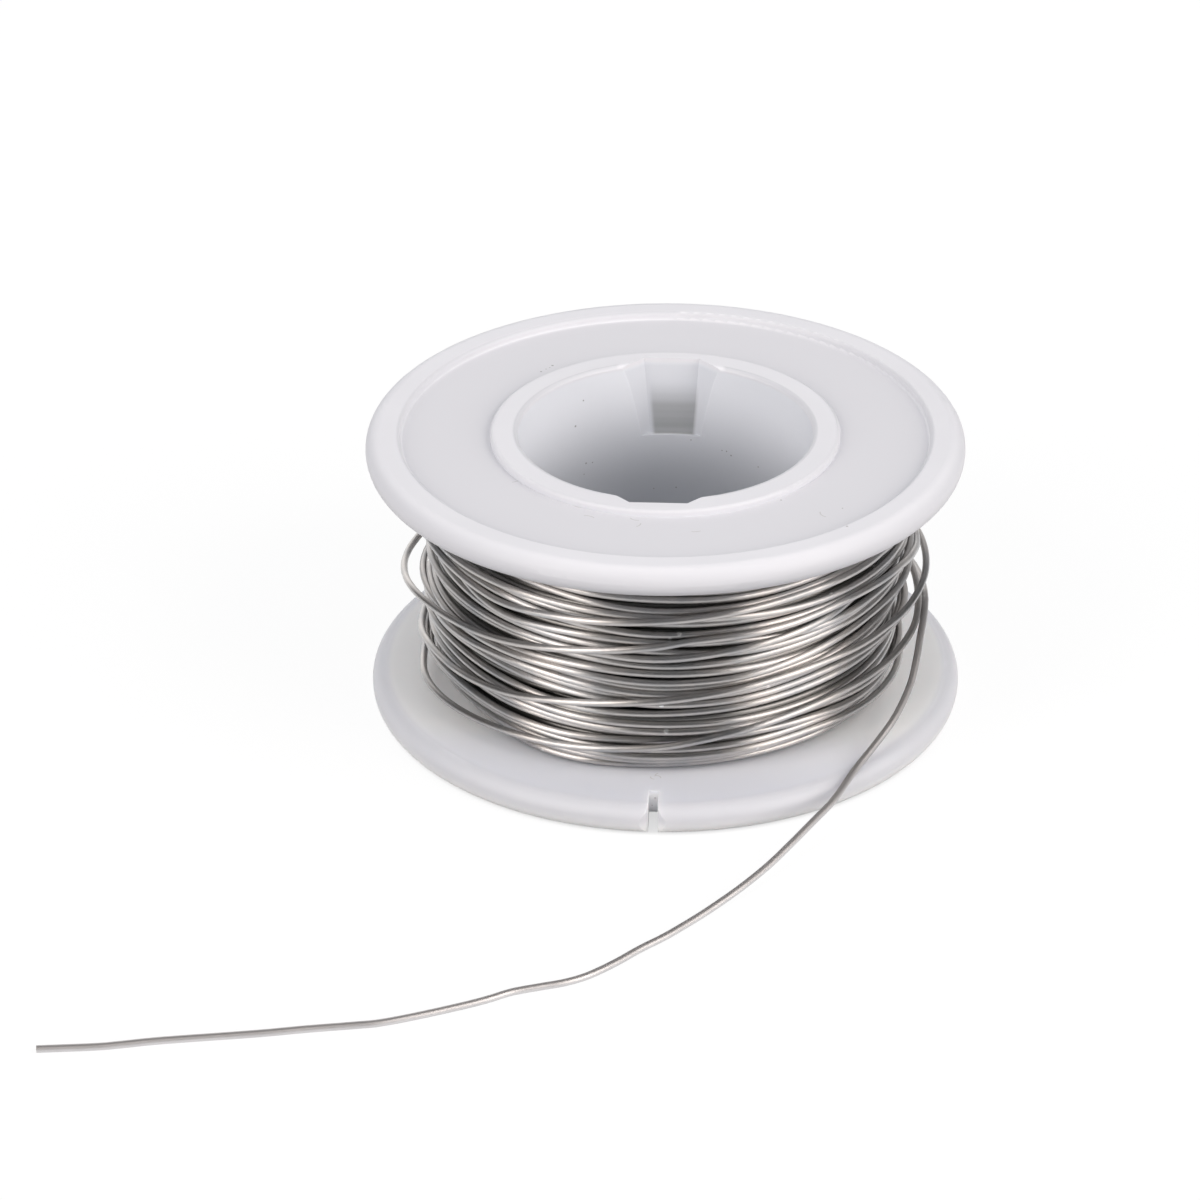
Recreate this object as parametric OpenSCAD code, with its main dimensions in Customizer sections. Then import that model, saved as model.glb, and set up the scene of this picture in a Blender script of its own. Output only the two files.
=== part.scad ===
// Solder wire spool: a moulded reel standing on its lower flange, wound with fine solder wire.
// Millimetres. The origin is the centre of the lower flange's face on the table, and +Z is up
// along the reel's axis. The keyways and the slit in the rim lie on the Y axis.

/* [Reel] */
// Diameter of both flanges
flange_d = 50; // [49:0.1:50.4]
// Height of the reel from face to face
reel_h = 24.6; // [24:0.1:27]
// Thickness of a flange at its rim
flange_t = 2.6; // [2.4:0.1:2.7]
// Diameter of the bore that goes on a spindle
bore_d = 24.6; // [24:0.1:25.4]
// Diameter of the barrel's ends, where the flanges are pressed on
seat_d = 29.2; // [28.4:0.1:29.4]
// Diameter of the barrel between the flanges
barrel_d = 29.8; // [29.6:0.1:31]

/* [Flange details] */
// Width of the raised rim
rim_w = 2.9; // [2.4:0.1:3.6]
// Radius of the rim's outer edges
rim_round = 1.25; // [0.6:0.05:1.3]
// Radius of the rim's edge towards the recess
rim_inner_round = 0.35; // [0.2:0.05:0.5]
// Depth of the recess between the rim and the barrel
recess_depth = 0.6; // [0.5:0.05:0.8]
// Width of the slit that holds the wire's end
slit_w = 0.8; // [0.7:0.1:1.2]
// Depth of the slit, inwards from the rim
slit_depth = 3.1; // [2:0.1:4]
// Radius of the slit's rounded mouth
slit_mouth_round = 0.9; // [0.3:0.1:1.2]

/* [Keyways] */
// Width of a keyway's floor at the reel's face
key_floor_w = 4.7; // [4:0.1:5.4]
// Width of a keyway's floor at its closed end
key_end_w = 3.6; // [3:0.1:4]
// Width of a keyway where it opens into the bore
key_mouth_w = 8.8; // [8:0.1:9]
// Depth of a keyway's floor below the bore's wall, at the reel's face
key_depth = 0.9; // [0.6:0.1:1]
// Depth of a keyway's floor at its closed end
key_end_depth = 0.5; // [0.3:0.1:0.8]
// Length of a keyway along the bore
key_length = 6.9; // [4:0.1:9]

/* [Wire] */
// Diameter of the solder wire
wire_d = 0.6; // [0.5:0.01:0.6]
// Diameter of the flux core inside the wire
flux_d = 0.2; // [0.1:0.01:0.25]
// Diameter over the outer layer of turns
winding_d = 39.6; // [39:0.1:39.6]
// Turns in the outer layer
layer_turns = 17; // [10:1:17]

/* [Hidden] */

$fn = 96;
EPS = 0.05;             // how far a cutting shape runs past the face that it cuts

WHITE_PLASTIC = [0.9, 0.9, 0.92];
SOLDER = [0.62, 0.62, 0.63];
ROSIN = [0.72, 0.5, 0.2];

flange_r = flange_d / 2;
bore_r = bore_d / 2;
seat_r = seat_d / 2;
barrel_r = barrel_d / 2;
wire_r = wire_d / 2;
bore_lip_round = 0.35;  // rounding of the bore's two mouths
seat_lip_round = 0.3;   // rounding of the barrel's end towards the flange
// The hollow round at the recess's foot, which runs on from the rim's inner edge
recess_foot_round = recess_depth - rim_inner_round;

// The turns. Each loop has the same number of rings, at the same angles, so that neighbouring
// loops run side by side and their straight pieces never cross.
RINGS_PER_LOOP = 24;
STEP_ANGLE = 360 / RINGS_PER_LOOP;
START_ANGLE = 90;       // the layer starts at the back of the reel
layer_r = winding_d / 2 - wire_r;
// The packed layers below stop where the straight pieces of the turns come closest to the axis
inner_winding_r = layer_r * cos(STEP_ANGLE / 2) - wire_r;
riser_bend = 0.5;       // bend by which the wire turns from the flange into the first turn
TOP_CLEAR = 0.1;        // between the top turn and the upper flange
layer_low_z = flange_t + wire_d + riser_bend;
layer_top_z = reel_h - flange_t - wire_r - TOP_CLEAR;
layer_pitch = (layer_top_z - layer_low_z) / layer_turns;

// Where the wire's free end leaves the winding, at the reel's right side
EXIT = [22, 0, 9];

// The slack loops stand off the layer by a little at the front and back and by more at the sides.
// Each loop lies on a slant of its own.
SLACK_CLEAR = 1.15;     // from the layer's centre line to a slack loop's, where they are closest
MOVE_OUT = 0.125;       // share of a loop in which the wire moves out from the layer
slack_r = layer_r + SLACK_CLEAR;
// Height of each slack loop at the reel's right side, front, left side and back
SLACK_HEIGHTS = [
    [17.6, 17.3, 18, 17],
    [14.2, 14.8, 11.5, 13],
    [12.6, 9.9, 6.6, 8.6],
    [10, 5.5, 4.3, 6.4]
];
// How far each slack loop bulges at the right side and at the left side
SLACK_BULGES = [[0, 0], [0.4, 1.6], [1.2, 0], [0.5, 0.4]];
SLACK_TURNS = len(SLACK_HEIGHTS) + START_ANGLE / 360;

// The free end's route: x, y and the clear height under the wire. It leaves the exit straight,
// drops over the lower flange's rim and lies on the table to its cut end.
TAIL_ROUTE = [
    [22, 0, 8.7], [22, -0.6, 8.7], [21.9, -2.6, 8.3], [21.6, -5, 7.6], [21.3, -7.2, 6.7],
    [20.8, -9.5, 5.6], [19.6, -12.7, 4.4], [18, -15.4, 3.3], [16.4, -18.1, 2.5],
    [14.7, -22, 1.9], [13, -24.9, 1.5], [11.3, -27.7, 1.1], [9.5, -30.5, 0.7],
    [7.4, -33.4, 0.4], [5.2, -36, 0.1], [3.5, -38, 0], [1.7, -40.1, 0], [-0.2, -42, 0],
    [-1.8, -43.8, 0], [-3.2, -45.2, 0], [-4.4, -46.2, 0], [-5.8, -47, 0], [-7.7, -47.7, 0],
    [-9.8, -48.5, 0], [-11.6, -49.6, 0], [-13.5, -50.6, 0], [-16.8, -52.1, 0],
    [-19.6, -53.2, 0], [-21.4, -53.6, 0], [-25.2, -54.3, 0], [-29, -55.1, 0],
    [-35.9, -56.3, 0], [-39, -57, 0], [-41, -57.4, 0], [-45.4, -57.9, 0]
];
TAIL_RING_STEP = 1.6;
TAIL_SIDES = 8;
FLUX_SIDES = 6;
TURN_SIDES = 6;

// ---- paths and the tubes along them ----

function unit(v) = v / norm(v);

// A point on the smooth curve through b and c, whose neighbours are a and d
function smooth_point(a, b, c, d, t) =
    0.5 * (2 * b + (c - a) * t + (2 * a - 5 * b + 4 * c - d) * t * t
           + (3 * b - a - 3 * c + d) * t * t * t);

// The smooth curve through a route, with a point every step or so
function smooth_path(route, step) =
    let (last = len(route) - 1)
    concat(
        [for (i = [0 : last - 1])
            let (count = max(1, round(norm(route[i + 1] - route[i]) / step)))
            for (k = [0 : count - 1])
                smooth_point(route[max(i - 1, 0)], route[i], route[i + 1],
                             route[min(i + 2, last)], k / count)],
        [route[last]]);

// The direction of a path at each of its points
function headings(path) =
    let (last = len(path) - 1)
    [for (i = [0 : last]) unit(path[min(i + 1, last)] - path[max(i - 1, 0)])];

// Rings of points square to the path: the first corner of each ring is on its up side
function rings(path, ups, radius, sides) =
    let (ways = headings(path))
    [for (i = [0 : len(path) - 1])
        let (side = unit(cross(ways[i], ups[i])), up = cross(side, ways[i]))
        for (k = [0 : sides - 1])
            path[i] + radius * (cos(360 * k / sides) * up + sin(360 * k / sides) * side)];

// The triangles of a tube's wall. Turned round, they face its hollow.
function wall_faces(ring_count, sides, first, inward) =
    [for (i = [0 : ring_count - 2])
        for (k = [0 : sides - 1])
            let (a = first + i * sides + k, b = first + i * sides + (k + 1) % sides)
            for (face = [[a, a + sides, b], [b, a + sides, b + sides]])
                inward ? [face[2], face[1], face[0]] : face];

// A fan of triangles that closes a solid tube's end
function end_faces(sides, first, outward) =
    [for (k = [1 : sides - 2])
        outward ? [first, first + k + 1, first + k] : [first, first + k, first + k + 1]];

// A solid tube along a path
module solid_tube(path, ups, radius, sides) {
    points = rings(path, ups, radius, sides);
    count = len(path);
    polyhedron(
        points = points,
        faces = concat(
            wall_faces(count, sides, 0, false),
            end_faces(sides, 0, false),
            end_faces(sides, (count - 1) * sides, true)),
        convexity = 10);
}

// A tube with a hollow, whose ends are flat rings
module hollow_tube(path, ups, radius, sides, hollow_radius, hollow_sides) {
    count = len(path);
    outer = rings(path, ups, radius, sides);
    inner = rings(path, ups, hollow_radius, hollow_sides);
    polyhedron(
        points = concat(outer, inner),
        faces = concat(
            wall_faces(count, sides, 0, false),
            wall_faces(count, hollow_sides, count * sides, true),
            ring_end_faces(sides, hollow_sides, 0, count * sides, false),
            ring_end_faces(sides, hollow_sides, (count - 1) * sides,
                           count * sides + (count - 1) * hollow_sides, true)),
        convexity = 10);
}

// The hollow's corner that faces side k of the outer polygon
function facing_corner(k, sides, hollow_sides) =
    ceil((k + 0.5) * hollow_sides / sides - 0.5) % hollow_sides;

// The triangles of a flat ring between an outer and an inner polygon: one on each side of the
// outer one, and one wherever the corner that the sides face changes
function ring_end_faces(sides, hollow_sides, first, hollow_first, outward) =
    concat(
        [for (k = [0 : sides - 1])
            let (near = facing_corner(k, sides, hollow_sides))
            let (face = [first + k, first + (k + 1) % sides, hollow_first + near])
            outward ? [face[1], face[0], face[2]] : face],
        [for (k = [0 : sides - 1])
            let (now = facing_corner(k, sides, hollow_sides))
            let (next = facing_corner(k + 1, sides, hollow_sides))
            if (now != next)
                let (face = [first + (k + 1) % sides, hollow_first + next, hollow_first + now])
                outward ? [face[1], face[0], face[2]] : face]);

// ---- the winding's path ----

function on_axis_circle(radius, angle, z) = [radius * cos(angle), radius * sin(angle), z];

// The wire rises straight out of the lower flange and bends over into the first turn
function riser_path() =
    let (base = on_axis_circle(layer_r, START_ANGLE, flange_t))
    concat(
        [base, base + [0, 0, wire_d]],
        [for (a = [30 : 30 : 60])
            base + [riser_bend * (1 - cos(a)), 0, wire_d + riser_bend * sin(a)]]);

// The outer layer: clockwise seen from above, and up by one pitch a turn
function layer_path() =
    [for (i = [1 : layer_turns * RINGS_PER_LOOP])
        let (turn = i / RINGS_PER_LOOP)
        on_axis_circle(layer_r, START_ANGLE - 360 * turn, layer_low_z + layer_pitch * turn)];

// The slack loops: the wire first moves outwards at the top, and then comes down over the layer.
// A loop starts at the back, so its right side comes after a quarter of a turn.
slack_marks = concat([layer_top_z], [for (loop = SLACK_HEIGHTS) each loop], [EXIT[2]]);
slack_sides = concat([for (loop = SLACK_BULGES) each loop], [EXIT[0] - slack_r]);

function slack_radius(turn) =
    let (out = min(1, turn / MOVE_OUT), side = pow(cos(START_ANGLE - 360 * turn), 2))
    let (bulge = slack_sides[min(floor(2 * turn), len(slack_sides) - 1)])
    layer_r + out * (slack_r - layer_r + bulge * side);

function slack_z(turn) =
    let (last = len(slack_marks) - 1, i = min(floor(4 * turn), last - 1), t = 4 * turn - i)
    turn < 1 / 4
        ? layer_top_z + (slack_marks[1] - layer_top_z)
            * (1 - cos(180 * max(0, turn - MOVE_OUT) / (1 / 4 - MOVE_OUT))) / 2
        : smooth_point(slack_marks[i - 1], slack_marks[i], slack_marks[i + 1],
                       slack_marks[min(i + 2, last)], t);

function slack_path() =
    concat(
        [for (i = [1 : SLACK_TURNS * RINGS_PER_LOOP - 1])
            let (turn = i / RINGS_PER_LOOP)
            on_axis_circle(slack_radius(turn), START_ANGLE - 360 * turn, slack_z(turn))],
        [EXIT + [0, wire_d, 0], EXIT]);

winding_path = concat(riser_path(), layer_path(), slack_path());

// The least clear distance between points of the winding that are over half a loop apart
function least_gap(path) =
    min([for (i = [0 : len(path) - 1])
            for (j = [i + RINGS_PER_LOOP / 2 : 1 : len(path) - 1])
                norm(path[j] - path[i])]) - wire_d;

tail_route = [for (p = TAIL_ROUTE) [p[0], p[1], p[2] + wire_r]];
// The smooth curve may dip a little where it lands, so it is kept on the table
tail_path = [for (p = smooth_path(tail_route, TAIL_RING_STEP)) [p[0], p[1], max(p[2], wire_r)]];
tail_ups = [for (p = tail_path) [0, 0, 1]];

// ---- the reel's profiles ----

// What rounding takes off a corner at the origin, for a shape in the first quadrant
module corner_waste(radius) {
    difference() {
        translate([-EPS, -EPS]) square(radius + EPS);
        translate([radius, radius]) circle(radius);
    }
}

// The hollow round that fills a corner at the origin, for walls along both axes
module corner_fill(radius) {
    difference() {
        translate([-EPS, -EPS]) square(radius + EPS);
        translate([radius, radius]) circle(radius);
    }
}

// Half of a flange's section: rim, recess and flat inner face, with its outer face at zero
module flange_section() {
    difference() {
        translate([seat_r, 0]) square([flange_r - seat_r, flange_t]);
        translate([seat_r - EPS, -EPS]) {
            square([flange_r - rim_w - seat_r + EPS, recess_depth + EPS]);
        }
        translate([flange_r - rim_w, 0]) corner_waste(rim_inner_round);
        translate([flange_r, 0]) mirror([1, 0]) corner_waste(rim_round);
        translate([flange_r, flange_t]) rotate(180) corner_waste(rim_round);
    }
    translate([flange_r - rim_w, recess_depth]) rotate(180) corner_fill(recess_foot_round);
}

module flange() {
    rotate_extrude() flange_section();
}

// Half of the barrel's section: both ends are stepped down to the seats of the flanges
module barrel_section() {
    difference() {
        translate([bore_r, 0]) square([barrel_r - bore_r, reel_h]);
        for (end = [0, 1]) {
            translate([0, end * reel_h]) mirror([0, end]) {
                translate([seat_r, -EPS]) square([barrel_r - seat_r + EPS, flange_t + EPS]);
                translate([bore_r, 0]) corner_waste(bore_lip_round);
                translate([seat_r, 0]) mirror([1, 0]) corner_waste(seat_lip_round);
            }
        }
    }
}

// Half of the keyway in plan, on the +Y side: a flat floor, and a flank that eases out of the
// bore's wall and meets the floor in a corner
key_floor_y = bore_r + key_depth;
KEY_FLANK_STEPS = 6;

function bore_y(x) = sqrt(bore_r * bore_r - x * x);

module key_half_plan() {
    corner_x = key_floor_w / 2;
    corner_depth = key_floor_y - bore_y(corner_x);
    polygon(concat(
        [[-key_end_w / 4, bore_r - 2 * key_depth], [key_mouth_w / 2, bore_r - 2 * key_depth]],
        [for (i = [0 : KEY_FLANK_STEPS])
            let (t = i / KEY_FLANK_STEPS, x = key_mouth_w / 2 + (corner_x - key_mouth_w / 2) * t)
            [x, bore_y(x) + corner_depth * (1 - cos(90 * t)) - (i == 0 ? EPS : 0)]],
        [[-key_end_w / 4, key_floor_y]]));
}

// A keyway's space, cut down from the reel's upper face. The floor and both flanks lean in towards
// the closed end, as in a moulded pocket.
key_lean = atan((key_floor_w - key_end_w) / 2 / key_length);
key_draft = atan((key_depth - key_end_depth) / key_length);

module keyway() {
    intersection() {
        translate([-key_mouth_w, 0, -key_length]) {
            cube([2 * key_mouth_w, flange_r, key_length + EPS]);
        }
        for (side = [0, 1]) {
            mirror([side, 0, 0]) translate([0, bore_r, 0]) rotate([-key_draft, key_lean, 0]) {
                translate([0, -bore_r, -key_length - 1]) {
                    linear_extrude(key_length + 2) key_half_plan();
                }
            }
        }
    }
}

// ---- the pieces ----

module barrel() {
    color(WHITE_PLASTIC) difference() {
        rotate_extrude() barrel_section();
        for (end = [0, 1]) {
            for (turn = [0, 180]) {
                translate([0, 0, end * reel_h]) mirror([0, 0, 1 - end]) rotate(turn) keyway();
            }
        }
    }
}

module upper_flange() {
    color(WHITE_PLASTIC) translate([0, 0, reel_h]) mirror([0, 0, 1]) flange();
}

// The slit in plan, on the -Y side, with a mouth that opens in two rounded shoulders
module slit_plan() {
    mouth_w = slit_w + 2 * slit_mouth_round;
    translate([-slit_w / 2, -flange_r - 1]) square([slit_w, slit_depth + 1]);
    difference() {
        translate([-mouth_w / 2, -flange_r - 1]) square([mouth_w, slit_mouth_round + 1]);
        for (side = [-1, 1]) {
            translate([side * mouth_w / 2, -flange_r + slit_mouth_round]) {
                circle(slit_mouth_round);
            }
        }
    }
}

module lower_flange() {
    color(WHITE_PLASTIC) difference() {
        flange();
        translate([0, 0, -1]) linear_extrude(flange_t + 2) slit_plan();
    }
}

// The packed layers under the outer one, between the flanges
module inner_winding() {
    color(SOLDER) translate([0, 0, flange_t]) rotate_extrude() {
        translate([barrel_r, 0]) square([inner_winding_r - barrel_r, reel_h - 2 * flange_t]);
    }
}

module outer_winding() {
    echo(least_gap_mm = least_gap(winding_path), loops = layer_turns + SLACK_TURNS);
    ups = [for (p = winding_path) unit([p[0], p[1], 0])];
    color(SOLDER) solid_tube(winding_path, ups, wire_r, TURN_SIDES);
}

module wire_tail() {
    color(SOLDER) hollow_tube(tail_path, tail_ups, wire_r, TAIL_SIDES, flux_d / 2, FLUX_SIDES);
}

module flux_core() {
    color(ROSIN) solid_tube(tail_path, tail_ups, flux_d / 2, FLUX_SIDES);
}

barrel();
upper_flange();
lower_flange();
inner_winding();
outer_winding();
wire_tail();
flux_core();
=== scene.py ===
# %% [markdown]
# # A small reel of solder wire
#
# A white plastic reel stands on one of its flanges, loosely wound with thin grey solder wire. The free end
# leaves the reel on the right, drops over the lower flange and runs along the table to the left. The CAD
# frame gives the reel at its true size. This lesson adds what the frame leaves plain: every turn of the
# wire, the plastic's soft shine, and the light.

import math

import bpy
import numpy as np
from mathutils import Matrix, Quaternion, Vector


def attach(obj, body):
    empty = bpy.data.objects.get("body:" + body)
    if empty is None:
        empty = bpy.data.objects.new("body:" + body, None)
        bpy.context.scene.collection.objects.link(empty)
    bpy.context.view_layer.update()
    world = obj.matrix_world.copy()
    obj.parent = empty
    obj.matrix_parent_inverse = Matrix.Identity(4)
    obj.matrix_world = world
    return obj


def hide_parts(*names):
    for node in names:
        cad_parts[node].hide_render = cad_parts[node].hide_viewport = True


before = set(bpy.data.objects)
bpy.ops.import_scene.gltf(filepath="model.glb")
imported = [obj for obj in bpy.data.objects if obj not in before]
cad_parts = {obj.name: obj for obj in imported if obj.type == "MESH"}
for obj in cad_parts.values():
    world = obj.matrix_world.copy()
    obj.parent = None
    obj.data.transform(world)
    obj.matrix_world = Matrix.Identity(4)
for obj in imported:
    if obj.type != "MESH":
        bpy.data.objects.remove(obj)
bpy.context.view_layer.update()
MM = 0.001
print("CAD nodes:", ", ".join(sorted(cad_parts)))

# %% [markdown]
# ## The camera
#
# The camera comes first, because a free cord is judged against what the camera sees. It stands a forearm's
# length away and looks down at the reel by a little under 30 degrees, as someone at a bench would. A wide
# lens close up would show the same reel, but make the near rim look too large. A long lens keeps the two
# flanges almost the same width.

# %% Camera
CAMERA_TARGET = Vector((0, 0, 12)) * MM
CAMERA_DISTANCE = 421.4 * MM
CAMERA_AZIMUTH = math.radians(2.4)
CAMERA_ELEVATION = math.radians(28.63)
LOOK_AT = Vector((-5.15, -6.97, 12.0)) * MM
CAMERA_ROLL = math.radians(-0.41)
LENS_MM = 149.5
SENSOR_MM = 36
NEAREST, FARTHEST = 0.01, 20

back = Vector(
    (
        math.sin(CAMERA_AZIMUTH) * math.cos(CAMERA_ELEVATION),
        -math.cos(CAMERA_AZIMUTH) * math.cos(CAMERA_ELEVATION),
        math.sin(CAMERA_ELEVATION),
    )
)
camera = bpy.data.objects.new("camera", bpy.data.cameras.new("camera"))
bpy.context.scene.collection.objects.link(camera)
camera.location = CAMERA_TARGET + back * CAMERA_DISTANCE
aim = (LOOK_AT - camera.location).to_track_quat("-Z", "Y")
camera.rotation_mode = "QUATERNION"
camera.rotation_quaternion = aim @ Quaternion((0, 0, 1), CAMERA_ROLL)
camera.data.sensor_width = SENSOR_MM
camera.data.lens = LENS_MM
camera.data.clip_start = NEAREST
camera.data.clip_end = FARTHEST
bpy.context.scene.camera = camera
bpy.context.scene.view_settings.view_transform = "Standard"
print("camera at", [round(c / MM, 1) for c in camera.location], "mm")

# %% [markdown]
# ## One smooth line through chosen points
#
# The free end and the slack turns are drawn as a few points that the wire passes through. Straight
# lines between them would give corners, and a Bezier curve needs two handles for every point. A Catmull-Rom
# curve needs neither: it passes through every point and has no corners, like a springy wire threaded
# through rings.

# %% A curve through points
def smooth_line(points, steps):
    """Catmull-Rom samples through the points, with that many steps between two of them."""
    points = np.array(points, float)
    ends = [2 * points[0] - points[1]], [2 * points[-1] - points[-2]]
    padded = np.vstack([ends[0], points, ends[1]])
    out = []
    for a, b, c, d in zip(padded, padded[1:], padded[2:], padded[3:]):
        for t in np.arange(steps) / steps:
            bend = (2 * a - 5 * b + 4 * c - d) * t**2 + (3 * b - a - 3 * c + d) * t**3
            out.append(b + 0.5 * ((c - a) * t + bend))
    out.append(points[-1])
    return np.array(out)


def length_of(line):
    """Length of a line of points."""
    return float(np.linalg.norm(np.diff(line, axis=0), axis=1).sum())


arch = smooth_line([(0, 0), (1, 1), (2, 0)], 6)
print(f"an arch through three points has {len(arch)} points and is {length_of(arch):.2f} long")

# %% [markdown]
# ## The free end
#
# Solder this thin is soft enough to keep the bends it came off the reel with, and stiff enough not to
# hang. So its route is one long lazy curve with faint kinks: off the last turn, over the rim and along
# the table to a plain cut end. The points are those of the frame's own wire. A mesh would do for the tube,
# but a curve object with a round bevel keeps the route itself, so its length can still be measured.

# %% Route of the free end
WIRE = 0.6 * MM
ROUTE_STEPS = 6
# x, y and height of the underside, in mm
TAIL_ROUTE = [
    (22, 0, 8.7), (22, -0.6, 8.7), (21.9, -2.6, 8.3), (21.6, -5, 7.6), (21.3, -7.2, 6.7),
    (20.8, -9.5, 5.6), (19.6, -12.7, 4.4), (18, -15.4, 3.3), (16.4, -18.1, 2.5), (14.7, -22, 1.9),
    (13, -24.9, 1.5), (11.3, -27.7, 1.1), (9.5, -30.5, 0.7), (7.4, -33.4, 0.4), (5.2, -36, 0.1),
    (3.5, -38, 0), (1.7, -40.1, 0), (-0.2, -42, 0), (-1.8, -43.8, 0), (-3.2, -45.2, 0),
    (-4.4, -46.2, 0), (-5.8, -47, 0), (-7.7, -47.7, 0), (-9.8, -48.5, 0), (-11.6, -49.6, 0),
    (-13.5, -50.6, 0), (-16.8, -52.1, 0), (-19.6, -53.2, 0), (-21.4, -53.6, 0), (-25.2, -54.3, 0),
    (-29, -55.1, 0), (-35.9, -56.3, 0), (-39, -57, 0), (-41, -57.4, 0), (-45.4, -57.9, 0),
]

tail_line = smooth_line(np.array(TAIL_ROUTE) * MM + [0, 0, WIRE / 2], ROUTE_STEPS)
tail_line[:, 2] = np.maximum(tail_line[:, 2], WIRE / 2)

# %% A round wire
def round_wire(name, line, diameter, sides):
    """A curve object along the line, round in section and closed at both ends."""
    curve = bpy.data.curves.new(name, "CURVE")
    curve.dimensions = "3D"
    # The bevel is 1 m and each point scales it down, because the object's box grows by a point's radius
    curve.bevel_depth = 1.0
    # A bevel has twice its resolution and four more sides
    curve.bevel_resolution = sides // 2 - 2
    curve.use_fill_caps = True
    spline = curve.splines.new("POLY")
    spline.points.add(len(line) - 1)
    for point, place in zip(spline.points, line):
        point.co = (*place, 1)
        point.radius = diameter / 2
    wire = bpy.data.objects.new(name, curve)
    bpy.context.scene.collection.objects.link(wire)
    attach(wire, "root")
    return wire


print("round wires can be made along any line")

# %% Wire and flux core
WIRE_SIDES = 12
FLUX = 0.2 * MM
FLUX_SIDES = 8
FLUX_PROUD = 0.02 * MM

tail = round_wire("wire_tail_drawn", tail_line, WIRE, WIRE_SIDES)
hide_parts("wire_tail")

# The flux fills the wire, and shows as a dot that stands a hair's breadth proud of the cut
flux_line = tail_line.copy()
end_direction = flux_line[-1] - flux_line[-2]
flux_line[-1] += end_direction / np.linalg.norm(end_direction) * FLUX_PROUD
flux = round_wire("flux_core_drawn", flux_line, FLUX, FLUX_SIDES)
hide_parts("flux_core")

print("cord:", tail.name, "with", flux.name)

# %% [markdown]
# ## How the wire lies on the reel
#
# The reel has been used and wound back by hand, so no two turns are parallel. Each turn is described by the
# heights at which it passes seven places, from the reel's left over its front to its right. Between those
# it runs straight, and round the back it climbs or falls to where the next turn starts, so each layer is
# one unbroken wire.
#
# A turn's distance from the axle isn't chosen. It rests on whatever was wound before it: where two wires
# cross, the upper one is lifted over the lower one, and where it falls between two wires it sinks a
# little. That gives the crossings, dark gaps and raised strands that a tidy helix would lack.

# %% Heights of the turns
STATIONS = 120
SIDES = (-60, -40, -20, 0, 20, 40, 60)
FLOOR_OF_REEL = 2.6 * MM
ROOF_OF_REEL = 22.0 * MM
# From the middle of a wire to a flange that it touches: half the wire, and a little air
WIRE_TO_FLANGE = 0.52 * WIRE
azimuth = 180 - 360 * np.arange(STATIONS) / STATIONS
CORE_RADIUS = 18.0 * MM
ROUND_STEP = 2 * math.pi * CORE_RADIUS / STATIONS / MM


def turn_heights(marks, softness):
    """Height of every turn at every station, from one row a turn: its heights at the sides, in mm."""
    whens = [turn + (180 - side) / 360 for turn in range(len(marks)) for side in SIDES[::-1]]
    heights = [height * MM for row in marks for height in row[::-1]]
    when = np.arange(len(marks) * STATIONS) / STATIONS
    path = np.interp(when, whens, heights)
    window = np.hanning(2 * softness + 1)
    padded = np.pad(path, softness, mode="edge")
    path = np.convolve(padded, window / window.sum(), mode="valid")
    path = np.clip(path, FLOOR_OF_REEL + WIRE_TO_FLANGE, ROOF_OF_REEL - WIRE_TO_FLANGE)
    return path.reshape(len(marks), STATIONS)


print(f"{STATIONS} stations round the reel, {ROUND_STEP:.1f} mm apart on the winding")

# %% Turns that show
# From the first wound to the last: down the reel once, crossing as they go
TOP_MARKS = [
    (21.5, 21.4, 21.2, 21.0, 21.2, 21.3, 21.4), (20.9, 20.7, 20.4, 19.9, 19.5, 19.7, 20.0),
    (20.0, 19.65, 19.25, 19.15, 18.85, 18.8, 18.8), (19.35, 19.0, 18.6, 18.1, 18.1, 18.3, 18.2),
    (18.0, 18.05, 17.9, 17.7, 17.3, 16.85, 16.8), (17.9, 17.7, 17.0, 16.8, 16.7, 16.6, 16.4),
    (17.5, 17.2, 16.2, 15.75, 15.85, 16.1, 16.2), (16.3, 15.1, 15.35, 15.15, 14.9, 14.4, 14.65),
    (15.3, 14.75, 14.55, 14.3, 13.75, 13.85, 14.2), (14.3, 14.1, 13.8, 13.65, 14.35, 15.0, 15.5),
    (13.6, 13.6, 13.2, 12.85, 12.95, 13.25, 13.5), (12.4, 12.25, 12.45, 12.3, 12.2, 12.1, 12.2),
    (11.9, 11.95, 11.95, 11.45, 11.6, 12.3, 12.85), (11.3, 11.6, 11.4, 10.9, 11.05, 11.35, 11.3),
    (11.0, 11.3, 10.95, 10.45, 10.45, 11.05, 11.75), (10.9, 10.75, 10.25, 9.95, 10.0, 10.35, 10.5),
    (10.3, 10.1, 9.75, 9.35, 9.3, 9.75, 9.8), (9.4, 8.85, 8.35, 8.5, 8.75, 9.15, 9.45),
    (8.5, 8.1, 7.65, 7.6, 7.5, 7.5, 7.55), (7.8, 7.4, 6.9, 6.95, 7.05, 7.0, 6.95),
    (6.9, 6.55, 6.4, 6.35, 6.5, 6.5, 6.1), (6.2, 5.75, 5.55, 5.8, 6.0, 5.95, 5.4),
    (5.7, 5.3, 4.9, 4.85, 5.1, 5.4, 4.95), (4.9, 4.6, 4.2, 4.3, 4.5, 4.8, 4.5),
    (4.2, 3.9, 3.7, 3.8, 4.0, 4.2, 4.0), (3.5, 3.3, 3.1, 3.2, 3.35, 3.4, 3.4),
]
# Counted from 0, the turns that lie on top where they cross a neighbour
UPPERMOST = (1, 3, 4, 7, 9, 12, 14, 16, 17, 19, 21, 23, 25)
TOP_SOFTNESS = 4
top_heights = turn_heights(TOP_MARKS, TOP_SOFTNESS)
print(len(top_heights), "turns that show")

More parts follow.
